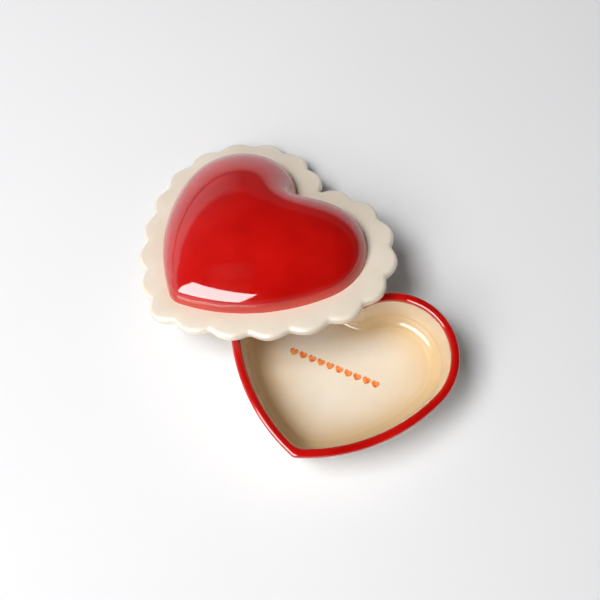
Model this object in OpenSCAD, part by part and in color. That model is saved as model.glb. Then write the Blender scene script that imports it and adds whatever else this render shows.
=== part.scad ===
// Heart-shaped ceramic trinket box: an open heart dish and a loose lid with a domed heart on
// a scalloped flange. The lid is off the dish: it leans on the rim, low edge on the table.
// Millimetres. Origin: middle of the dish's foot, +Y from the heart's tip to its cleft, +Z up.

/* [Heart outline of the rim] */
// Distance of each lobe's centre from the middle line
lobe_x = 26; // [24:0.5:28]
// Radius of each lobe
lobe_r = 32; // [30:0.5:34]
// Radius of the long curve from the lobe to the tip
flank_r = 92; // [86:1:110]
// Height of the lobes' centres above the tip
lobe_y = 64; // [60:1:68]
// Rounding at the bottom of the cleft
cleft_r = 2; // [1:0.5:4]
// How much faster than the wall the cleft grows rounder towards the floor
cleft_soft = 1.5; // [0:0.1:1.6]
// Rounding of the tip on the outside
tip_r = 3.5; // [2:0.5:6]
// Rounding of the tip on the inside
inner_tip_r = 10; // [7:0.5:12]

/* [Dish] */
// Height to the top of the rim
dish_h = 33; // [28:1:38]
// Thickness of the rim
rim_w = 4.4; // [4:0.2:5.2]
// Depth of the red band from the top of the rim
band_h = 3.2; // [2.6:0.2:4]
// How far the outer wall draws in towards the base
wall_taper = 2.6; // [1:0.2:4]
// How far the inner wall draws in towards the floor
inner_taper = 1.8; // [1:0.2:3]
// Radius of the cove between wall and floor
cove_r = 7; // [5:0.5:9]
// Height of the floor's upper face
floor_z = 6; // [5:0.5:8]
// Radius of the rounding under the outer wall
base_r = 5; // [4:0.5:7]
// Height of the bare flat foot
foot_h = 1.4; // [1:0.2:2]
// Step in from the base's rounding to the foot's edge
foot_step = 1; // [0.5:0.5:3]

/* [Stamped row on the floor] */
// Number of stamped hearts
stamp_count = 10; // [4:1:12]
// Distance between stamped hearts
stamp_pitch = 5; // [5:0.1:6]
// Width of one stamped heart
stamp_w = 4.6; // [2:0.1:4.8]
// Thickness of the coloured glaze in a stamp
stamp_t = 0.3; // [0.2:0.1:0.6]
// Middle of the row, along Y
stamp_y = 4.5; // [-6:0.5:8]

/* [Lid] */
// Thickness of the flange
flange_t = 5; // [4.5:0.5:6]
// Reach of the scallops' crests past the dish's outline
crest = 13.6; // [10:0.1:15]
// Depth of the notches between scallops
notch = 3.4; // [1.5:0.1:4.5]
// Number of scallops
scallops = 21; // [17:2:25]
// Height of the red heart above the flange
dome_h = 25; // [20:1:30]
// Inset of the red heart's foot from the dish's outline
dome_inset = 1.2; // [1:0.1:4]
// How far past the rim's own tip the red heart's flanks would meet
dome_point = 3; // [0:0.5:4]
// Rounding of the red heart's tip
dome_tip_r = 10; // [6:0.5:12]
// Thickness of the hollow heart's shell
shell_t = 4.5; // [4:0.5:5]
// Depth of the ring that drops inside the rim
ring_h = 3.5; // [3:0.5:5]
// Thickness of that ring
ring_t = 3; // [2.5:0.5:4]
// Play between that ring and the inside of the rim
ring_play = 1.1; // [0.8:0.1:1.6]

/* [Leaning lid] */
// Tilt of the lid from level
lean = 19.9; // [19.7:0.1:24]
// Compass direction in which the lid slopes down, from +X
lean_to = 125; // [123:1:136]
// Turn of the lid about its own axis
turn = -23.5; // [-28:0.5:-20]
// Middle of the lid's underside, along X
lid_x = -61.9; // [-65:0.1:-58]
// Middle of the lid's underside, along Y
lid_y = 41.1; // [38:0.1:44]

/* [Hidden] */

cream = [0.93, 0.86, 0.75];
red = [0.72, 0.08, 0.06];
bare_clay = [0.85, 0.80, 0.72];
orange = [0.91, 0.42, 0.18];

mid_y = 48;                     // tip to the origin, along the middle line
tip_steps = 3;
flank_steps = 9;
lobe_steps = 15;
cleft_steps = 3;
table_gap = 0.2;

// Centre of the long curve that runs smoothly into the lobe and meets the middle line p below
// the rim's own tip
function flank_centre(p) =
    let (ly = lobe_y + p, reach = norm([lobe_x, ly]))
    let (along = (flank_r * flank_r - pow(flank_r - lobe_r, 2) + reach * reach) / (2 * reach))
    let (across = sqrt(flank_r * flank_r - along * along))
    [along * lobe_x - across * ly, along * ly + across * lobe_x - p * reach] / reach;

// Centres of the tip's and the cleft's roundings when the outline is moved inwards by d. Moved
// inwards, the cleft grows rounder; moved outwards it keeps its rounding, so no side crosses over.
function tip_c(d, t, flank_c) =
    [0, flank_c[1] - sqrt(pow(flank_r - d - t, 2) - pow(flank_c[0], 2))];
function cleft_round(d) = cleft_r + max(d, 0) + cleft_soft * max(d - rim_w - inner_taper, 0);
function cleft_c(d) = [0, lobe_y + sqrt(pow(lobe_r - d + cleft_round(d), 2) - lobe_x * lobe_x)];
function bearing(from, to) = atan2(to[1] - from[1], to[0] - from[0]);

// Each arc is [centre, radius, start angle, end angle, steps], from the tip to the cleft
function half_arcs(d, t, p) =
    let (flank_c = flank_centre(p), tip = tip_c(d, t, flank_c), cleft = cleft_c(d))
    let (lobe = [lobe_x, lobe_y])
    let (leave = bearing(flank_c, tip), join = bearing(flank_c, lobe), top = bearing(lobe, cleft))
    [[tip, t, -90, leave, tip_steps],
     [flank_c, flank_r - d, leave, join, flank_steps],
     [lobe, lobe_r - d, join, top, lobe_steps],
     [cleft, cleft_round(d), top - 180, -90, cleft_steps]];
function on_arc(a, f) =
    let (w = a[2] + (a[3] - a[2]) * f) [a[0][0] + a[1] * cos(w), a[0][1] + a[1] * sin(w) - mid_y];
function half_heart(d, t, fine = 1, p = 0) =
    let (arcs = half_arcs(d, t, p))
    concat([for (a = arcs) for (k = [0:a[4] * fine - 1]) on_arc(a, k / (a[4] * fine))],
           [on_arc(arcs[3], 1)]);
function both_halves(right) =
    concat(right, [for (k = [len(right) - 2:-1:1]) [-right[k][0], right[k][1]]]);

// Heart outline moved inwards by d, with its tip rounded by t and its flanks meeting p lower
function heart(d, t, fine = 1, p = 0) = both_halves(half_heart(d, t, fine, p));
function outer_tip(d) = max(tip_r - d, 0.4);
function level(outline, z) = [for (p = outline) [p[0], p[1], z]];

// Closed solid skinned over rings of points; a hoop also joins its last ring to its first
module skin(rings, hoop = false) {
    n = len(rings[0]);
    m = len(rings);
    sides = [for (k = [0:m - (hoop ? 1 : 2)]) for (i = [0:n - 1])
        let (a = k * n, b = ((k + 1) % m) * n, j = (i + 1) % n)
        each [[a + i, b + i, b + j], [a + i, b + j, a + j]]];
    caps = hoop ? [] : [[for (i = [0:n - 1]) i], [for (i = [n - 1:-1:0]) (m - 1) * n + i]];
    polyhedron(points = [for (ring = rings) each ring], faces = concat(sides, caps));
}

// ---- dish: profiles run as [inset from the outline, height]

band_z = dish_h - band_h;
quarter = [0, 22.5, 45, 67.5, 90];

module dish_body() {
    base_in = wall_taper + base_r;
    inner_in = rim_w + inner_taper;
    outside = concat(
        [for (w = quarter) [base_in - base_r * sin(w), foot_h + base_r * (1 - cos(w))]],
        [[wall_taper * 0.35, band_z * 0.6], [0.2, band_z]]);
    inside = concat(
        [[rim_w - 0.2, band_z], [rim_w + inner_taper * 0.35, band_z * 0.75]],
        [for (w = quarter) [inner_in + cove_r * (1 - cos(w)), floor_z + cove_r * (1 - sin(w))]]);
    color(cream) skin(concat(
        [for (p = outside) level(heart(p[0], outer_tip(p[0])), p[1])],
        [for (p = inside) level(heart(p[0], inner_tip_r), p[1])]));
}

module dish_rim_band() {
    round_r = rim_w / 2;
    crown = [for (w = [0:30:180]) [round_r * (1 - cos(w)), dish_h - round_r * (1 - sin(w)), w / 180]];
    profile = concat([[0, band_z, 0]], crown, [[rim_w, band_z, 1]]);
    color(red) skin([for (p = profile)
        level(heart(p[0], outer_tip(0) + (inner_tip_r - outer_tip(0)) * p[2]), p[1])], hoop = true);
}

// One flat bare face under the whole base, so the middle of the foot is on it
module dish_foot() {
    color(bare_clay) linear_extrude(foot_h)
        polygon(heart(wall_taper + base_r + foot_step, inner_tip_r));
}

// Small plain heart: two round lobes over a square set on its corner
module small_heart(w) {
    side = w / (1 + sqrt(2) / 2);
    rotate(45) {
        square(side, center = true);
        translate([side / 2, 0]) circle(d = side, $fn = 24);
        translate([0, side / 2]) circle(d = side, $fn = 24);
    }
}

module floor_stamps() {
    color(orange) for (k = [0:stamp_count - 1])
        translate([(k - (stamp_count - 1) / 2) * stamp_pitch, stamp_y, floor_z])
            linear_extrude(stamp_t) small_heart(stamp_w);
}

// ---- lid, drawn level with its underside at z = 0 and then leant on the dish

// Half outline of the scallops: the reach follows a row of round crests, one on the tip and a
// notch in the cleft, measured along the plain outline
fine = 3;
function run(pts) = [for (k = 0, s = 0; k < len(pts);
    s = s + (k + 1 < len(pts) ? norm(pts[k + 1] - pts[k]) : 0), k = k + 1) s];
function scallop_outline(inset) =
    let (plain = half_heart(notch - crest, outer_tip(notch - crest), fine), s = run(plain))
    let (last = len(s) - 1)
    both_halves([for (k = [0:last])
        let (wave = abs(cos(90 * scallops * s[k] / s[last])))
        let (prev = plain[max(k - 1, 0)], next = plain[min(k + 1, last)], dir = next - prev)
        let (out = k == 0 ? [0, -1] : k == last ? [0, 1] : [dir[1], -dir[0]] / norm(dir))
        plain[k] + out * (notch * wave - inset)]);

module place_lid() {
    underside = scallop_outline(1.2);
    slope = [cos(lean_to), sin(lean_to)];
    flat = [for (p = underside) [p[0] * cos(turn) - p[1] * sin(turn), p[0] * sin(turn) + p[1] * cos(turn)]];
    drop = max([for (p = flat) p * slope]) * sin(lean);
    translate([lid_x, lid_y, drop + table_gap])
        rotate(a = lean, v = [-slope[1], slope[0], 0]) rotate([0, 0, turn]) children();
}

module lid_flange() {
    edge = [[1.2, 0], [0.3, 0.8], [0, 2], [0, flange_t - 2], [0.5, flange_t - 0.8], [1.8, flange_t]];
    hole = dome_inset + shell_t;
    color(cream) place_lid() skin(concat(
        [for (p = edge) level(scallop_outline(p[0]), p[1])],
        [for (z = [flange_t, 0]) level(heart(hole, inner_tip_r, fine), z)]), hoop = true);
}

// Ring of the puffed heart: f runs from its foot to its top, where the cleft has melted away
dome_c = [0, 4];
function puff(inset, h, f, t, p) = level(
    [for (q = heart(inset + 10 * f, t, 1, p)) dome_c + (1 - f) * (q - dome_c)],
    flange_t + h * pow(1 - pow(1 - f, 2.3), 0.55));

module lid_dome() {
    rise = [0, 0.012, 0.04, 0.09, 0.16, 0.25, 0.36, 0.5, 0.66, 0.82, 0.96];
    color(red) place_lid() difference() {
        skin([for (f = rise) puff(dome_inset, dome_h, f, dome_tip_r + 22 * f, dome_point)]);
        translate([0, 0, -0.01]) skin([for (f = rise)
            puff(dome_inset + shell_t, dome_h - shell_t, f, inner_tip_r + 20 * f, 0)]);
    }
}

module lid_locating_ring() {
    ring_in = rim_w + ring_play;
    color(cream) place_lid() skin([for (p = [[0.5, -ring_h], [0, 0.8 - ring_h], [0, 0],
        [ring_t, 0], [ring_t, 0.8 - ring_h], [ring_t - 0.5, -ring_h]])
        level(heart(ring_in + p[0], inner_tip_r), p[1])], hoop = true);
}

dish_body();
dish_rim_band();
dish_foot();
floor_stamps();
lid_flange();
lid_dome();
lid_locating_ring();
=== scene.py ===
import math

import bmesh
import bpy
import numpy as np
from mathutils import Matrix, Vector, noise


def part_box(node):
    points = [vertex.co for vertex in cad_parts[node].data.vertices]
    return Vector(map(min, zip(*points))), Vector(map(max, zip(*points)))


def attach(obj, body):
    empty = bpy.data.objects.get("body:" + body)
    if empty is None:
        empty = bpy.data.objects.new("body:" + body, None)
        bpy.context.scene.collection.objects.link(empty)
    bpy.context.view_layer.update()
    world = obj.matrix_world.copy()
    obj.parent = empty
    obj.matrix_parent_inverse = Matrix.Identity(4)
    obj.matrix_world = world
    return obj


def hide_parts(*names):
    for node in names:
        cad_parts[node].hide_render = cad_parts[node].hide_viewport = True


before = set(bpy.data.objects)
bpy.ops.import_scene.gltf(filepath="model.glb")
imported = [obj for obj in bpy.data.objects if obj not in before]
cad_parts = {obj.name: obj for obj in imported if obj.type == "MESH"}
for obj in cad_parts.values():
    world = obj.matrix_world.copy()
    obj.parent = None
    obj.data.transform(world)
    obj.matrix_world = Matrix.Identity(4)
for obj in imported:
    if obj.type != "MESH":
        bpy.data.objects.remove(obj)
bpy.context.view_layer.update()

MM = 0.001

# ---- driving sizes in millimetres, the same as the part's own

LOBE_X, LOBE_Y, LOBE_R = 26.0, 64.0, 32.0
FLANK_R = 92.0
CLEFT_R, CLEFT_SOFT = 2.0, 1.5
TIP_R, INNER_TIP_R = 3.5, 10.0
MID_Y = 48.0

DISH_H, RIM_W, BAND_H = 33.0, 4.4, 3.2
WALL_TAPER, INNER_TAPER = 2.6, 1.8
COVE_R, FLOOR_Z, BASE_R = 7.0, 6.0, 5.0
FOOT_H, FOOT_STEP = 1.4, 1.0

FLANGE_T, CREST, NOTCH, SCALLOPS = 5.0, 13.6, 3.4, 21
DOME_H, DOME_INSET, SHELL_T = 25.0, 1.2, 4.5
DOME_POINT, DOME_TIP_R = 3.0, 10.0
PUFF = 0.46
RING_H, RING_T, RING_PLAY = 3.5, 3.0, 1.1
LEAN, LEAN_TO, TURN = 19.9, 125.0, -23.5

STAMPS, STAMP_PITCH, STAMP_W, STAMP_Y = 10, 5.0, 4.6, 4.5

# ---- how finely half a heart is drawn: points on its tip, flank, lobe and cleft

FINE = (10, 40, 64, 10)
COARSE = (4, 16, 24, 6)
SMALL = (3, 8, 14, 3)
SCALLOPED = (12, 60, 96, 12)

# ---- where flat skins close on a pole, and how far the bowl's wall tucks in under the red band

MIDDLE = (0.0, 2.0)
TUCK = 0.2


# ---- heart outline

def flank_centre(point):
    """Centre of the long curve that meets the middle line this far below the rim's own tip."""
    lobe_y = LOBE_Y + point
    reach = math.hypot(LOBE_X, lobe_y)
    along = (FLANK_R ** 2 - (FLANK_R - LOBE_R) ** 2 + reach ** 2) / (2 * reach)
    across = math.sqrt(FLANK_R ** 2 - along ** 2)
    x = (along * LOBE_X - across * lobe_y) / reach
    y = (along * lobe_y + across * LOBE_X) / reach
    return x, y - point


def bearing(start, end):
    return math.degrees(math.atan2(end[1] - start[1], end[0] - start[0]))


def half_arcs(inset, tip_r, point):
    """The right half from tip to cleft, as arcs (centre, radius, start, end) that run on smoothly."""
    flank = flank_centre(point)
    tip = (0.0, flank[1] - math.sqrt((FLANK_R - inset - tip_r) ** 2 - flank[0] ** 2))
    lobe = (LOBE_X, LOBE_Y)
    cleft_r = CLEFT_R + max(inset, 0.0) + CLEFT_SOFT * max(inset - RIM_W - INNER_TAPER, 0.0)
    cleft = (0.0, LOBE_Y + math.sqrt((LOBE_R - inset + cleft_r) ** 2 - LOBE_X ** 2))
    leave, join, top = bearing(flank, tip), bearing(flank, lobe), bearing(lobe, cleft)
    return [(tip, tip_r, -90.0, leave), (flank, FLANK_R - inset, leave, join),
            (lobe, LOBE_R - inset, join, top), (cleft, cleft_r, top - 180.0, -90.0)]


def half_heart(inset, tip_r, steps, point=0.0):
    points = []
    arcs = half_arcs(inset, tip_r, point)
    for (centre, radius, start, end), count in zip(arcs, steps):
        for k in range(count):
            w = math.radians(start + (end - start) * k / count)
            points.append((centre[0] + radius * math.cos(w), centre[1] + radius * math.sin(w) - MID_Y))
    cleft, cleft_r = arcs[3][:2]
    points.append((0.0, cleft[1] - cleft_r - MID_Y))
    return points


def both_halves(right):
    return right + [(-x, y) for x, y in right[-2:0:-1]]


def heart(inset, tip_r, steps=FINE, point=0.0):
    return both_halves(half_heart(inset, tip_r, steps, point))


def outer_tip(inset):
    """Radius of the outside's tip, which sharpens inwards down to a least radius."""
    least = 0.6
    return max(TIP_R - inset, least)


def mix(a, b, f):
    return a + (b - a) * f


# ---- meshes

def wander(x, y, z, size, seed):
    """Slow unevenness of a hand-finished casting, between -1 and 1, with waves of this size."""
    return noise.noise(Vector((x / size + seed, y / size - seed, z / size)))


def new_object(name, mesh, material, smooth=True):
    piece = bpy.data.objects.new(name, mesh)
    bpy.context.scene.collection.objects.link(piece)
    mesh.materials.clear()
    mesh.materials.append(material)
    if smooth:
        mesh.polygons.foreach_set("use_smooth", [True] * len(mesh.polygons))
    return piece


def skin(name, rings, hoop=False, floor=None, crown=None, place=None):
    """Skin rings of points in millimetres; each open end closes on a pole, given as a point."""
    count = len(rings[0])
    verts = [p for ring in rings for p in ring]
    faces = []
    for k in range(len(rings) if hoop else len(rings) - 1):
        a, b = k * count, ((k + 1) % len(rings)) * count
        for i in range(count):
            j = (i + 1) % count
            faces.append((a + i, a + j, b + j, b + i))
    if floor is not None:
        verts.append(floor)
        faces += [(len(verts) - 1, (i + 1) % count, i) for i in range(count)]
    if crown is not None:
        last = (len(rings) - 1) * count
        verts.append(crown)
        faces += [(len(verts) - 1, last + i, last + (i + 1) % count) for i in range(count)]
    placed = [place @ Vector(p) if place else Vector(p) for p in verts]
    mesh = bpy.data.meshes.new(name)
    mesh.from_pydata([p * MM for p in placed], [], faces)
    bm = bmesh.new()
    bm.from_mesh(mesh)
    bmesh.ops.recalc_face_normals(bm, faces=bm.faces)
    bm.to_mesh(mesh)
    bm.free()
    return mesh


def level(outline, z):
    return [(x, y, z) for x, y in outline]


def arc(centre, radius, start, end, count):
    out = []
    for k in range(count + 1):
        w = math.radians(start + (end - start) * k / count)
        out.append((centre[0] + radius * math.cos(w), centre[1] + radius * math.sin(w)))
    return out


def shrink(ring, centre, f):
    return [(mix(x, centre[0], f), mix(y, centre[1], f), z) for x, y, z in ring]


# ---- shader maths

class Num:
    """A shader socket that adds Math nodes when it is used in an expression."""

    def __init__(self, tree, socket):
        self.tree, self.socket = tree, socket

    def math(self, operation, a, b):
        step = self.tree.nodes.new("ShaderNodeMath")
        step.operation = operation
        for k, value in enumerate((a, b)):
            if isinstance(value, Num):
                self.tree.links.new(value.socket, step.inputs[k])
            else:
                step.inputs[k].default_value = value
        return Num(self.tree, step.outputs[0])

    def __add__(self, other):
        return self.math("ADD", self, other)

    def __radd__(self, other):
        return self.math("ADD", other, self)

    def __mul__(self, other):
        return self.math("MULTIPLY", self, other)

    def __rmul__(self, other):
        return self.math("MULTIPLY", other, self)


def pick(made, name):
    """A node's input by its name, or by its number where the name is like _0."""
    if name[1:].isdigit():
        return made.inputs[int(name[1:])]
    return made.inputs[name.replace("_", " ")]


class Glaze:
    """A material under construction: one Principled shader and the nodes that feed it."""

    def __init__(self, name, **sockets):
        self.material = bpy.data.materials.new(name)
        self.material.use_nodes = True
        self.tree = self.material.node_tree
        self.tree.nodes.clear()
        self.shader = self.tree.nodes.new("ShaderNodeBsdfPrincipled")
        out = self.tree.nodes.new("ShaderNodeOutputMaterial")
        self.tree.links.new(self.shader.outputs[0], out.inputs[0])
        for socket, value in sockets.items():
            self.shader.inputs[socket.replace("_", " ")].default_value = value
        coords = self.tree.nodes.new("ShaderNodeTexCoord")
        self.place = Num(self.tree, coords.outputs["Object"])

    def node(self, kind, settings=None, **inputs):
        made = self.tree.nodes.new(kind)
        for key, value in (settings or {}).items():
            setattr(made, key, value)
        for key, value in inputs.items():
            socket = pick(made, key)
            if isinstance(value, Num):
                self.tree.links.new(value.socket, socket)
            else:
                socket.default_value = value
        return made

    def out(self, made, socket=0):
        return Num(self.tree, made.outputs[socket])

    def noise(self, scale, detail=3.0, roughness=0.5):
        made = self.node("ShaderNodeTexNoise", Vector=self.place, Scale=scale, Detail=detail,
                         Roughness=roughness)
        return self.out(made, "Fac")

    def blend(self, factor, a, b):
        made = self.node("ShaderNodeMix", {"data_type": "RGBA"}, _0=factor, _6=a, _7=b)
        return self.out(made, 2)

    def range(self, value, low, high):
        made = self.node("ShaderNodeMapRange", {"clamp": True}, Value=value, _1=low, _2=high)
        return self.out(made)

    def painted(self, name):
        """The value that was painted on the piece's points under this name."""
        made = self.node("ShaderNodeAttribute", {"attribute_name": name})
        return self.out(made, "Fac")

    def feed(self, socket, value):
        self.tree.links.new(value.socket, self.shader.inputs[socket])

    def bump(self, height, distance, strength):
        made = self.node("ShaderNodeBump", Height=height, Distance=distance, Strength=strength)
        self.feed("Normal", self.out(made))


def cream_glaze(name, pooling_and_shade_name=None):
    """Warm cream gloss glaze: a painted value tints it to ochre, partly for glaze that pools and partly as
    painted shade and warm bounce light.
    """
    glaze = Glaze(name, Roughness=0.22, IOR=1.5, Coat_Roughness=0.06, Coat_Weight=0.6)
    thin = (0.88, 0.80, 0.68, 1.0)
    full = (0.82, 0.72, 0.57, 1.0)
    # ochre of thick pooled glaze, also used as painted shade and warm bounce light inside the bowl
    pooled_glaze_and_shade = (0.68, 0.42, 0.13, 1.0)
    iron_speck = (0.45, 0.30, 0.16, 1.0)
    cloud = glaze.noise(scale=38.0, detail=4.0, roughness=0.55)
    tone = glaze.blend(glaze.range(cloud, 0.3, 0.7), full, thin)
    # where the painted value is high the tone goes to ochre: partly pooled glaze, partly painted shade
    if pooling_and_shade_name:
        tone = glaze.blend(glaze.painted(pooling_and_shade_name), tone, pooled_glaze_and_shade)
    specks = glaze.range(glaze.noise(scale=900.0, detail=1.0), low=0.76, high=0.82)
    tone = glaze.blend(specks * 0.35, tone, iron_speck)
    glaze.feed("Base Color", tone)
    glaze.feed("Roughness", 0.18 + 0.12 * glaze.noise(scale=120.0, detail=2.0))
    waves = glaze.noise(scale=160.0, detail=2.0, roughness=0.4)
    ripples = glaze.noise(scale=700.0, detail=1.0)
    glaze.bump(waves + 0.25 * ripples, distance=0.00006, strength=0.6)
    return glaze.material


def red_glaze(name, thin_name=None):
    """Deep red high gloss glaze, a little brighter and pinker where it runs thin."""
    glaze = Glaze(name, Roughness=0.12, IOR=1.52, Coat_Roughness=0.025, Coat_Weight=0.5)
    deep = (0.46, 0.003, 0.002, 1.0)
    bright = (0.58, 0.006, 0.004, 1.0)
    thin = (0.74, 0.12, 0.08, 1.0)
    cloud = glaze.noise(scale=45.0, detail=4.0, roughness=0.5)
    tone = glaze.blend(glaze.range(cloud, 0.32, 0.68), deep, bright)
    if thin_name:
        tone = glaze.blend(glaze.painted(thin_name), tone, thin)
    glaze.feed("Base Color", tone)
    glaze.feed("Roughness", 0.04 + 0.06 * glaze.noise(scale=90.0, detail=2.0))
    waves = glaze.noise(scale=110.0, detail=1.0, roughness=0.4)
    ripples = glaze.noise(scale=600.0, detail=1.0)
    glaze.bump(waves + 0.12 * ripples, distance=0.00005, strength=0.5)
    return glaze.material


def bare_clay(name):
    """Dry fired clay: chalky, with fine grit."""
    glaze = Glaze(name, Roughness=0.85)
    dark = (0.70, 0.62, 0.50, 1.0)
    light = (0.80, 0.73, 0.62, 1.0)
    grain = (0.42, 0.33, 0.24, 1.0)
    grit = glaze.noise(scale=1500.0, detail=3.0, roughness=0.6)
    cloud = glaze.noise(scale=80.0, detail=3.0)
    tone = glaze.blend(glaze.range(cloud, 0.3, 0.7), dark, light)
    tone = glaze.blend(glaze.range(grit, 0.62, 0.75) * 0.5, tone, grain)
    glaze.feed("Base Color", tone)
    glaze.feed("Roughness", 0.75 + 0.2 * grit)
    glaze.bump(grit, distance=0.00015, strength=0.7)
    return glaze.material


def orange_underglaze(name):
    """Orange stain brushed into the stamps, uneven under the clear glaze."""
    glaze = Glaze(name, Roughness=0.25, Coat_Weight=0.6, Coat_Roughness=0.06)
    full = (0.78, 0.13, 0.02, 1.0)
    thin = (0.90, 0.33, 0.09, 1.0)
    worn = (0.86, 0.62, 0.40, 1.0)
    cloud = glaze.noise(scale=420.0, detail=3.0, roughness=0.6)
    tone = glaze.blend(glaze.range(cloud, 0.3, 0.65), full, thin)
    edge = glaze.range(glaze.painted("edge"), 0.45, 1.0)
    glaze.feed("Base Color", glaze.blend(edge * 0.8, tone, worn))
    glaze.feed("Roughness", 0.2 + 0.15 * cloud)
    glaze.bump(cloud, distance=0.00008, strength=0.5)
    return glaze.material


def plain_floor(name):
    """Matt near-white tabletop."""
    glaze = Glaze(name, Roughness=0.9)
    dark = (0.80, 0.80, 0.81, 1.0)
    light = (0.84, 0.84, 0.85, 1.0)
    glaze.feed("Base Color", glaze.blend(glaze.noise(scale=6.0, detail=2.0), dark, light))
    return glaze.material


def paint(mesh, name, values):
    layer = mesh.attributes.new(name, "FLOAT", "POINT")
    layer.data.foreach_set("value", values)


# ---- rules: Geometry Nodes trees

class Rule:
    """A Geometry Nodes tree under construction: named inputs, and one piece's mesh in and out."""

    def __init__(self, name, **sizes):
        self.tree = bpy.data.node_groups.new(name, "GeometryNodeTree")
        self.tree.interface.new_socket("Geometry", in_out="INPUT", socket_type="NodeSocketGeometry")
        self.tree.interface.new_socket("Geometry", in_out="OUTPUT", socket_type="NodeSocketGeometry")
        self.sizes = {}
        for label, value in sizes.items():
            kind = "NodeSocketInt" if isinstance(value, int) else "NodeSocketFloat"
            title = label.replace("_", " ").capitalize()
            socket = self.tree.interface.new_socket(title, in_out="INPUT", socket_type=kind)
            self.sizes[socket.identifier] = value
        self.given = self.tree.nodes.new("NodeGroupInput")
        self.result = self.tree.nodes.new("NodeGroupOutput")

    def node(self, kind, settings=None, **inputs):
        made = self.tree.nodes.new(kind)
        for key, value in (settings or {}).items():
            setattr(made, key, value)
        for key, value in inputs.items():
            socket = pick(made, key)
            if isinstance(value, bpy.types.NodeSocket):
                self.tree.links.new(value, socket)
            else:
                socket.default_value = value
        return made.outputs[0]

    def size(self, label):
        return self.given.outputs[label]

    def run(self, piece, geometry, material):
        """Finish the tree, run it on the piece and leave the result as the piece's plain mesh."""
        whole = self.node("GeometryNodeRealizeInstances", Geometry=geometry)
        painted = self.node("GeometryNodeSetMaterial", Geometry=whole, Material=material)
        self.tree.links.new(painted, self.result.inputs[0])
        modifier = piece.modifiers.new(self.tree.name, "NODES")
        modifier.node_group = self.tree
        for identifier, value in self.sizes.items():
            modifier[identifier] = value
        view = bpy.context.evaluated_depsgraph_get()
        mesh = bpy.data.meshes.new_from_object(piece.evaluated_get(view))
        piece.modifiers.remove(modifier)
        piece.data = mesh
        mesh.polygons.foreach_set("use_smooth", [True] * len(mesh.polygons))


def build_stamps():
    """A row of small stamped hearts: each has a low lip of pushed-up clay and a stained hollow."""
    sunk, shoulder, lip, hollow = -0.1, 0.10, 0.20, 0.07
    lip_ends = 0.3
    seed = 7
    profile = ((0.0, sunk), (0.05, shoulder), (0.12, lip), (0.22, 0.16), (0.34, 0.09), (0.55, hollow),
               (0.8, hollow))
    scale = STAMP_W / (2 * (LOBE_X + LOBE_R))
    outline = heart(0.0, TIP_R, SMALL)
    rings, edge = [], []
    for f, height in profile:
        flat = shrink(level(outline, height), MIDDLE, f)
        rings.append([(x * scale, y * scale, z) for x, y, z in flat])
        edge.append(max(0.0, 1 - f / lip_ends))
    mesh = skin("stamp", rings, floor=(0.0, 0.0, sunk), crown=(0.0, MIDDLE[1] * scale, hollow))
    paint(mesh, "edge", [e for e in edge for _ in outline] + [0.0, 0.0])
    piece = new_object("stamps", mesh, orange_underglaze("orange underglaze"))
    rule = Rule("stamped row", count=STAMPS, pitch=STAMP_PITCH * MM, row_y=STAMP_Y * MM,
                floor_z=FLOOR_Z * MM, uneven=0.06)
    half = rule.node("ShaderNodeMath", {"operation": "MULTIPLY_ADD"},
                     _0=rule.size("Count"), _1=-0.5, _2=0.5)
    first = rule.node("ShaderNodeMath", {"operation": "MULTIPLY"}, _0=half, _1=rule.size("Pitch"))
    start = rule.node("ShaderNodeCombineXYZ", X=first, Y=rule.size("Row y"), Z=rule.size("Floor z"))
    step = rule.node("ShaderNodeCombineXYZ", X=rule.size("Pitch"))
    row = rule.node("GeometryNodeMeshLine", Count=rule.size("Count"), Start_Location=start, Offset=step)
    low = rule.node("ShaderNodeMath", {"operation": "MULTIPLY"}, _0=rule.size("Uneven"), _1=-1.0)
    sway = rule.tree.nodes.new("FunctionNodeRandomValue")
    sway.data_type = "FLOAT"
    rule.tree.links.new(low, sway.inputs[2])
    rule.tree.links.new(rule.size("Uneven"), sway.inputs[3])
    sway.inputs["Seed"].default_value = seed
    turn = rule.node("ShaderNodeCombineXYZ", Z=sway.outputs[1])
    hearts = rule.node("GeometryNodeInstanceOnPoints", Points=row, Instance=rule.given.outputs["Geometry"],
                       Rotation=turn)
    rule.run(piece, hearts, piece.data.materials[0])
    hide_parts("floor_stamps")
    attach(piece, "dish")


# ---- dish

def swayed_ring(inset, z, tip_r):
    """One ring of the bowl, which wanders in and out a little as a hand-finished casting does."""
    uneven, wave, seed = 0.16, 26.0, 3.0
    out = []
    for x, y in heart(inset, tip_r):
        sway = uneven * wander(x, y, z, wave, seed) / (math.hypot(x, y) or 1.0)
        out.append((x * (1 + sway), y * (1 + sway), z))
    return out


def bowl_outside():
    """Inset and height from the base's rounded corner up to the red band, which it goes under."""
    steps, bow = 10, 1.6
    foot_z, band_z = FOOT_H + BASE_R, DISH_H - BAND_H
    profile = arc((WALL_TAPER + BASE_R, foot_z), BASE_R, -90, -180, count=14)
    for k in range(1, steps + 1):
        f = k / steps
        profile.append((mix(WALL_TAPER, TUCK, f ** bow), mix(foot_z, band_z, f)))
    return profile


def bowl_inside():
    """Inset and height from under the red band down the wall and round the cove to the floor."""
    steps, bow, inner_tuck, overlap = 12, 1.3, 0.15, 0.6
    low_in, low_z = RIM_W + INNER_TAPER, FLOOR_Z + COVE_R
    profile = []
    for k in range(steps + 1):
        f = k / steps
        inset = mix(RIM_W - inner_tuck, low_in, f ** bow)
        profile.append((inset, mix(DISH_H - BAND_H + overlap, low_z, f)))
    return profile + arc((low_in + COVE_R, low_z), COVE_R, 180, 270, count=18)[1:]


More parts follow.
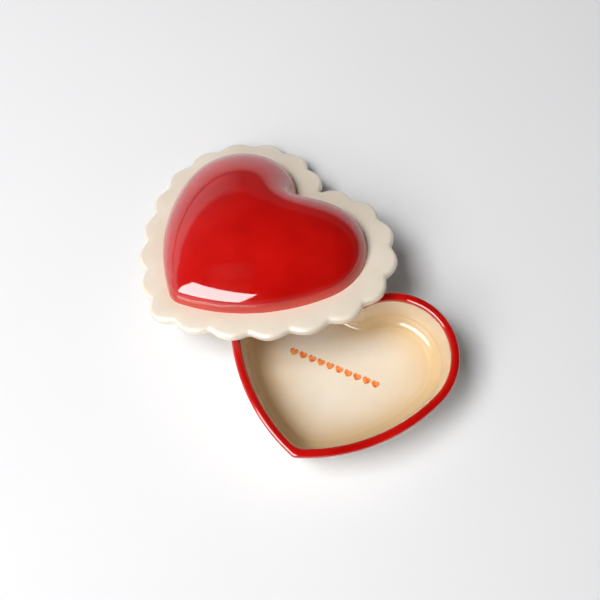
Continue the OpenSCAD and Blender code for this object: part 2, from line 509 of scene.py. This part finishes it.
def wall_pooling_and_shade(z):
    """How much ochre to paint at this height, from 0 to 1: more lower down, partly for glaze that has run
    down and gathered and partly as painted shade deep in the bowl.
    """
    left_above, gathered_and_shade, spread_on_floor = 0.15, 0.55, 0.75
    floor_starts = FLOOR_Z + 0.3
    low = max(0.0, min(1.0, (DISH_H - z) / (DISH_H - FLOOR_Z)))
    return left_above + gathered_and_shade * low ** 1.5 * (1.0 if z > floor_starts else spread_on_floor)


def build_bowl():
    """One skin from the base's middle out, over the rim and in to the floor's middle."""
    rings, pooled_glaze_and_shade = [], []
    outside_tone, floor_pooling_and_shade, under_tone = 0.25, 0.52, 0.2
    base_blunt, inner_blunt = 1.5, 0.9
    for inset, z in bowl_outside():
        tip_r = outer_tip(inset) + base_blunt * max(0.0, inset - WALL_TAPER)
        rings.append(swayed_ring(inset, z, tip_r))
        pooled_glaze_and_shade.append(outside_tone)
    rim_steps, under_band = 16, 0.15
    rim = arc((RIM_W / 2, DISH_H - RIM_W / 2), RIM_W / 2 - under_band, 180, 0, count=rim_steps)
    for k, (inset, z) in enumerate(rim):
        rings.append(swayed_ring(inset, z, mix(outer_tip(TUCK), INNER_TIP_R, k / rim_steps)))
        pooled_glaze_and_shade.append(0.0)
    for inset, z in bowl_inside():
        rings.append(swayed_ring(inset, z, INNER_TIP_R + max(0.0, inset - RIM_W) * inner_blunt))
        # painted shade growing down the inner wall, together with pooled glaze
        pooled_glaze_and_shade.append(wall_pooling_and_shade(z))
    floor_edge = rings[-1]
    floor_steps, dip, dip_wave, dip_seed = 24, 0.10, 22.0, 7.0
    for k in range(1, floor_steps):
        f = k / floor_steps
        ring = []
        for x, y, z in shrink(floor_edge, MIDDLE, f):
            ring.append((x, y, z + dip * wander(x, y, 0, dip_wave, dip_seed) * min(1.0, 3 * f)))
        rings.append(ring)
        # ochre at the floor's edge by the cove, fading to the middle: pooled glaze and painted shade
        pooled_glaze_and_shade.append(floor_pooling_and_shade * (1 - f) ** 3)
    under_steps = 12
    under = [shrink(rings[0], MIDDLE, 1 - k / under_steps) for k in range(1, under_steps)]
    mesh = skin("bowl", under + rings, floor=(*MIDDLE, FOOT_H), crown=(*MIDDLE, FLOOR_Z))
    count = len(rings[0])
    tones = [under_tone] * (count * len(under)) + [p for p in pooled_glaze_and_shade for _ in range(count)]
    paint(mesh, "pooled_glaze_and_shade", tones + [under_tone, 0.0])
    piece = new_object("bowl", mesh, cream_glaze("cream glaze, bowl", "pooled_glaze_and_shade"))
    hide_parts("dish_body")
    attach(piece, "dish")


def build_rim_band():
    """Red glaze over the rim: a rounded skin whose two lower edges waver as dipped glaze does."""
    round_r = RIM_W / 2
    base = DISH_H - round_r
    outer_drop, inner_drop = BAND_H - round_r, 0.9
    skirt, lip = 0.18, 0.86
    swell, waver, bead = 0.10, 0.35, 0.12
    outer_edge, inner_edge = 3.0, 30.0
    edge_tone = 0.75
    steps = 28

    def over(f):
        """How far over the bead f is: 0 down the outer skirt, 1 down the inner one."""
        return max(0.0, min(1.0, (f - skirt) / (lip - skirt)))

    def profile(f):
        """Inset and height at f, from the outer lower edge (0) over the top to the inner one (1)."""
        if f < skirt:
            return 0.0, base - outer_drop * (1 - f / skirt)
        if f > lip:
            return RIM_W, base - inner_drop * (f - lip) / (1 - lip)
        w = math.pi * (1 - over(f))
        return round_r + round_r * math.cos(w), base + round_r * math.sin(w)

    rings, thin = [], []
    for k in range(steps + 1):
        f = k / steps
        inset, z = profile(f)
        side = outer_edge if f < 0.5 else inner_edge
        edge = abs(2 * f - 1) ** 6
        ring = []
        for x, y in heart(inset, mix(TIP_R, INNER_TIP_R, over(f))):
            low = edge * waver * wander(x, y, side, size=9.0, seed=11.0)
            high = (1 - edge) * bead * wander(x, y, z, size=14.0, seed=5.0)
            ring.append((x, y, z + swell * math.sin(math.pi * f) + low + high))
        rings.append(ring)
        thin.append(edge_tone * edge)
    back_z = base - 0.2
    for inset, tip_r in ((RIM_W - 1.0, INNER_TIP_R), (RIM_W / 2, 6.0), (1.0, TIP_R)):
        rings.append(level(heart(inset, tip_r), back_z))
        thin.append(0.0)
    mesh = skin("rim_band", rings, hoop=True)
    paint(mesh, "thin", [t for t in thin for _ in range(len(rings[0]))])
    piece = new_object("rim_band", mesh, red_glaze("red glaze, rim", "thin"))
    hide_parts("dish_rim_band")
    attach(piece, "dish")


def build_foot():
    """Bare flat foot: wiped clean of glaze, with its lower edge rubbed round."""
    edge = WALL_TAPER + BASE_R + FOOT_STEP
    worn, top_z, steps = 0.5, FOOT_H + 0.2, 12
    profile = [(edge, top_z)] + arc((edge + worn, worn), worn, 180, 270, count=6)
    profile += [(edge + further_in, 0.0) for further_in in (2.0, 5.0, 8.0)]
    rings = [level(heart(inset, INNER_TIP_R), z) for inset, z in profile]
    rings += [shrink(rings[-1], MIDDLE, k / steps) for k in range(1, steps)]
    mesh = skin("foot", rings, floor=(*MIDDLE, top_z), crown=(*MIDDLE, 0.0))
    piece = new_object("foot", mesh, bare_clay("bare clay"))
    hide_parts("dish_foot")
    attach(piece, "dish")


# ---- lid, built level with its underside at z = 0 and then leant as the part is

def lean_matrix():
    to = math.radians(LEAN_TO)
    tilt = Matrix.Rotation(math.radians(LEAN), 4, Vector((-math.sin(to), math.cos(to), 0.0)))
    return tilt @ Matrix.Rotation(math.radians(TURN), 4, "Z")


def scallop_outline(inset):
    """The flange's edge, drawn in by this much: a plain heart with a wave along its length."""
    soft_notch = 0.012
    plain = half_heart(NOTCH - CREST, outer_tip(NOTCH - CREST), SCALLOPED)
    last = len(plain) - 1
    run = [0.0]
    for a, b in zip(plain, plain[1:]):
        run.append(run[-1] + math.dist(a, b))
    out = []
    for k, (x, y) in enumerate(plain):
        wave = math.sqrt(math.cos(math.radians(90 * SCALLOPS) * run[k] / run[-1]) ** 2 + soft_notch)
        move = NOTCH * wave - inset
        if k in (0, last):
            out.append((x, y + (move if k else -move)))
            continue
        a, b = plain[k - 1], plain[k + 1]
        size = math.dist(a, b)
        out.append((x + (b[1] - a[1]) / size * move, y - (b[0] - a[0]) / size * move))
    return both_halves(out)


def lid_place():
    """Lean the lid and set it where the flange's own box is."""
    turn = lean_matrix()
    edge = scallop_outline(0.0)
    outline = [turn @ Vector(p) for z in (0.0, FLANGE_T) for p in level(edge, z)]
    low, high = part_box("lid_flange")
    mine = [(min(p[k] for p in outline) + max(p[k] for p in outline)) / 2 for k in range(3)]
    theirs = [(low[k] + high[k]) / 2 / MM for k in range(3)]
    return Matrix.Translation(Vector([theirs[k] - mine[k] for k in range(3)])) @ turn


def build_flange(place):
    """Scalloped plate with rounded edges, a slightly pillowed top and a heart-shaped hole."""
    under_r, edge_r = 1.4, 2.2
    edge_uneven, top_uneven = 0.15, 0.12
    pillow, fullness, reach = 0.35, 0.8, 1.1
    profile = arc((under_r, under_r), under_r, -90, -180, count=6)
    profile += arc((edge_r, FLANGE_T - edge_r), edge_r, 180, 90, count=10)
    rings = []
    for inset, z in profile:
        ring = []
        for x, y in scallop_outline(inset):
            ring.append((x, y, z + edge_uneven * wander(x, y, z, size=18.0, seed=2.0)))
        rings.append(ring)
    edge = rings[-1]
    under_dome = DOME_INSET + 1.2
    foot = heart(under_dome, DOME_TIP_R, SCALLOPED, DOME_POINT)
    steps = 14
    for k in range(1, steps):
        f = k / steps
        high = FLANGE_T + pillow * math.sin(math.pi * min(1.0, f * reach)) ** fullness
        ring = []
        for (x0, y0, _), (x1, y1) in zip(edge, foot):
            x, y = mix(x0, x1, f), mix(y0, y1, f)
            ring.append((x, y, high + top_uneven * wander(x, y, FLANGE_T, size=15.0, seed=2.0)))
        rings.append(ring)
    hole, chamfer = DOME_INSET + SHELL_T, 0.6
    for inset, z in ((hole, FLANGE_T), (hole, chamfer), (hole - chamfer, 0.0)):
        rings.append(level(heart(inset, INNER_TIP_R, SCALLOPED), z))
    mesh = skin("flange", rings, hoop=True, place=place)
    piece = new_object("flange", mesh, cream_glaze("cream glaze, flange"))
    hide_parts("lid_flange")
    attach(piece, "lid")


def membrane(rings, hub):
    """Height of a skin held along the first ring and blown up evenly, scaled to a top of 1."""
    count, deep = len(rings[0]), len(rings)
    flat = np.array([p for ring in rings for p in ring] + [hub])
    middle = len(flat) - 1
    tris = []
    for k in range(deep - 1):
        for i in range(count):
            j = (i + 1) % count
            a, b, c, d = k * count + i, k * count + j, (k + 1) * count + j, (k + 1) * count + i
            tris += [(a, b, c), (a, c, d)]
    inmost = (deep - 1) * count
    tris += [(inmost + i, inmost + (i + 1) % count, middle) for i in range(count)]
    least_area = 1e-9
    stiff = np.zeros((len(flat), len(flat)))
    load = np.zeros(len(flat))
    for tri in tris:
        p = flat[list(tri)]
        e = np.array([p[2] - p[1], p[0] - p[2], p[1] - p[0]])
        area = abs(e[0][0] * e[1][1] - e[0][1] * e[1][0]) / 2 + least_area
        stiff[np.ix_(tri, tri)] += e @ e.T / (4 * area)
        load[list(tri)] += area / 3
    free = np.arange(count, len(flat))
    up = np.zeros(len(flat))
    up[free] = np.linalg.solve(stiff[np.ix_(free, free)], load[free])
    return up / up.max()


def puffed(inset, tip_r, point, top, base_z):
    """Rings of a puffed heart, from its edge inwards, and the point that closes its crown."""
    hub = (0.0, 3.0)
    deep, crowding = 26, 1.25
    inwards, blunter = 9.0, 16.0
    rings = []
    for k in range(deep):
        f = (k / deep) ** crowding
        step = heart(inset + inwards * f, tip_r + blunter * f, COARSE, point)
        rings.append([(mix(x, hub[0], f), mix(y, hub[1], f)) for x, y in step])
    up = base_z + top * membrane(rings, hub) ** PUFF
    count = len(rings[0])
    lifted = []
    for k, ring in enumerate(rings):
        lifted.append([(x, y, up[k * count + i]) for i, (x, y) in enumerate(ring)])
    return lifted, (*hub, up[-1])


def build_dome(place):
    """Hollow puffed heart: an outer and an inner skin joined under the flange's top."""
    overlap, roof_gap = 0.8, 0.2
    hole = DOME_INSET + SHELL_T
    outer, top = puffed(DOME_INSET, DOME_TIP_R, DOME_POINT, DOME_H, FLANGE_T)
    inner, roof = puffed(hole, INNER_TIP_R, 0.0, DOME_H - SHELL_T, FLANGE_T - roof_gap)
    collar = level(heart(DOME_INSET, DOME_TIP_R, COARSE, DOME_POINT), FLANGE_T - overlap)
    sill = level(heart(hole, INNER_TIP_R, COARSE), FLANGE_T - overlap)
    rings = list(reversed(inner)) + [sill, collar] + outer
    mesh = skin("dome", rings, floor=roof, crown=top, place=place)
    edge_tone, fades_over = 0.5, 1.2
    thin = [0.0] * (len(inner) + 1) + [1.0]
    thin += [max(0.0, 1 - k / fades_over) * edge_tone for k in range(len(outer))]
    paint(mesh, "thin", [t for t in thin for _ in collar] + [0.0, 0.0])
    piece = new_object("dome", mesh, red_glaze("red glaze, dome", "thin"))
    smooth = piece.modifiers.new("smooth", "SUBSURF")
    smooth.levels = 2
    smooth.render_levels = 2
    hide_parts("lid_dome")
    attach(piece, "lid")


def build_locating_ring(place):
    """Ring under the lid that drops inside the dish's rim, with its lower corners rounded."""
    ring_in = RIM_W + RING_PLAY
    corner, overlap = 0.7, 0.4
    profile = [(0.0, overlap)] + arc((corner, corner - RING_H), corner, 180, 270, count=5)
    profile += arc((RING_T - corner, corner - RING_H), corner, 270, 360, count=5)
    profile += [(RING_T, overlap)]
    rings = [level(heart(ring_in + inset, INNER_TIP_R), z) for inset, z in profile]
    mesh = skin("locating_ring", rings, hoop=True, place=place)
    piece = new_object("locating_ring", mesh, cream_glaze("cream glaze, ring"))
    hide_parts("lid_locating_ring")
    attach(piece, "lid")


# ---- set

LAMP_AIM = (-0.03, 0.03, 0.02)
SEEN_IN_GLOSS, SEEN_IN_MATT = True, False

# brightness of the room against height, and from its dim right side to its bright left side
WALL_STOPS = ((0.0, 0.9), (0.20, 0.8), (0.26, 0.18), (0.55, 0.07), (1.0, 0.05))
SIDE_STOPS = ((0.05, 0.10), (0.52, 0.14), (0.74, 0.75), (1.0, 1.0))


def outward(azimuth, elevation):
    """Direction from the object to a lamp or camera; azimuth 0 is straight in front of the tip."""
    a, e = math.radians(azimuth), math.radians(elevation)
    return Vector((math.sin(a) * math.cos(e), -math.cos(a) * math.cos(e), math.sin(e)))


def build_floor():
    half = 3.0
    corners = [(-half, -half, 0), (half, -half, 0), (half, half, 0), (-half, half, 0)]
    mesh = bpy.data.meshes.new("floor")
    mesh.from_pydata(corners, [], [(0, 1, 2, 3)])
    new_object("floor", mesh, plain_floor("pale floor"), smooth=False)


def area_light(name, azimuth, elevation, distance, size, power, seen_in):
    """A rectangular lamp that looks at the object; it shows only in gloss, or only in matt light."""
    data = bpy.data.lights.new(name, "AREA")
    data.shape = "RECTANGLE"
    data.size, data.size_y = size
    data.energy = power
    lamp = bpy.data.objects.new(name, data)
    bpy.context.scene.collection.objects.link(lamp)
    out = outward(azimuth, elevation)
    lamp.location = Vector(LAMP_AIM) + out * distance
    lamp.rotation_euler = (-out).to_track_quat("-Z", "Y").to_euler()
    lamp.visible_glossy = seen_in == SEEN_IN_GLOSS
    lamp.visible_diffuse = seen_in == SEEN_IN_MATT


def build_lamps():
    area_light("window in the gloss", -18.0, 25.0, 1.2, (1.15, 0.72), 30.0, SEEN_IN_GLOSS)
    area_light("window light", -20.0, 46.0, 1.2, (0.55, 0.55), 5.2, SEEN_IN_MATT)
    area_light("ceiling light", -62.0, 66.0, 1.3, (0.55, 0.55), 13.2, SEEN_IN_MATT)
    area_light("room fill", 70.0, 42.0, 1.3, (1.2, 1.2), 2.6, SEEN_IN_MATT)


def grey_ramp(tree, stops):
    """A ramp of slightly cool greys through these (position, brightness) stops."""
    cool = 1.02
    ramp = tree.nodes.new("ShaderNodeValToRGB")
    elements = ramp.color_ramp.elements
    for element, (position, grey) in zip(elements, (stops[0], stops[-1])):
        element.position = position
        element.color = (grey, grey, grey * cool, 1)
    for position, grey in stops[1:-1]:
        elements.new(position).color = (grey, grey, grey * cool, 1)
    return ramp


def build_world():
    """A room with a dark ceiling, a bright wall to the left and a dimmer one behind."""
    to_the_bright_side = (-0.5, -0.25, 0.0)
    world = bpy.data.worlds.new("soft room")
    bpy.context.scene.world = world
    world.use_nodes = True
    tree = world.node_tree
    tree.nodes.clear()
    coords = tree.nodes.new("ShaderNodeTexCoord")
    height = tree.nodes.new("ShaderNodeSeparateXYZ")
    walls = grey_ramp(tree, WALL_STOPS)
    side = tree.nodes.new("ShaderNodeVectorMath")
    side.operation = "DOT_PRODUCT"
    side.inputs[1].default_value = to_the_bright_side
    shift = tree.nodes.new("ShaderNodeMath")
    shift.inputs[1].default_value = 0.5
    sides = grey_ramp(tree, SIDE_STOPS)
    both = tree.nodes.new("ShaderNodeMix")
    both.data_type = "RGBA"
    both.blend_type = "MULTIPLY"
    both.inputs[0].default_value = 1.0
    back = tree.nodes.new("ShaderNodeBackground")
    out = tree.nodes.new("ShaderNodeOutputWorld")
    tree.links.new(coords.outputs["Generated"], height.inputs[0])
    tree.links.new(coords.outputs["Generated"], side.inputs[0])
    tree.links.new(height.outputs["Z"], walls.inputs[0])
    tree.links.new(side.outputs["Value"], shift.inputs[0])
    tree.links.new(shift.outputs[0], sides.inputs[0])
    tree.links.new(walls.outputs[0], both.inputs[6])
    tree.links.new(sides.outputs[0], both.inputs[7])
    tree.links.new(both.outputs[2], back.inputs[0])
    tree.links.new(back.outputs[0], out.inputs[0])


def build_camera():
    """Looks steeply down from in front and a little to the right, turned slightly about its axis."""
    azimuth, elevation, roll, distance = 27.5, 72.74, -5.0, 0.4252
    aim = Vector((-0.0285, 0.0277, 0.020))
    out = outward(azimuth, elevation)
    data = bpy.data.cameras.new("camera")
    data.sensor_width = 36.0
    data.lens = 50.0
    camera = bpy.data.objects.new("camera", data)
    bpy.context.scene.collection.objects.link(camera)
    right = Vector((math.cos(math.radians(azimuth)), math.sin(math.radians(azimuth)), 0.0))
    turned = Matrix((right, out.cross(right), out)).transposed()
    turned = turned @ Matrix.Rotation(math.radians(roll), 3, "Z")
    camera.matrix_world = Matrix.Translation(aim + out * distance) @ turned.to_4x4()
    bpy.context.scene.camera = camera


def main():
    build_camera()
    build_bowl()
    build_rim_band()
    build_foot()
    build_stamps()
    place = lid_place()
    build_flange(place)
    build_dome(place)
    build_locating_ring(place)
    build_floor()
    build_world()
    build_lamps()
    bpy.context.scene.view_settings.view_transform = "Standard"


main()
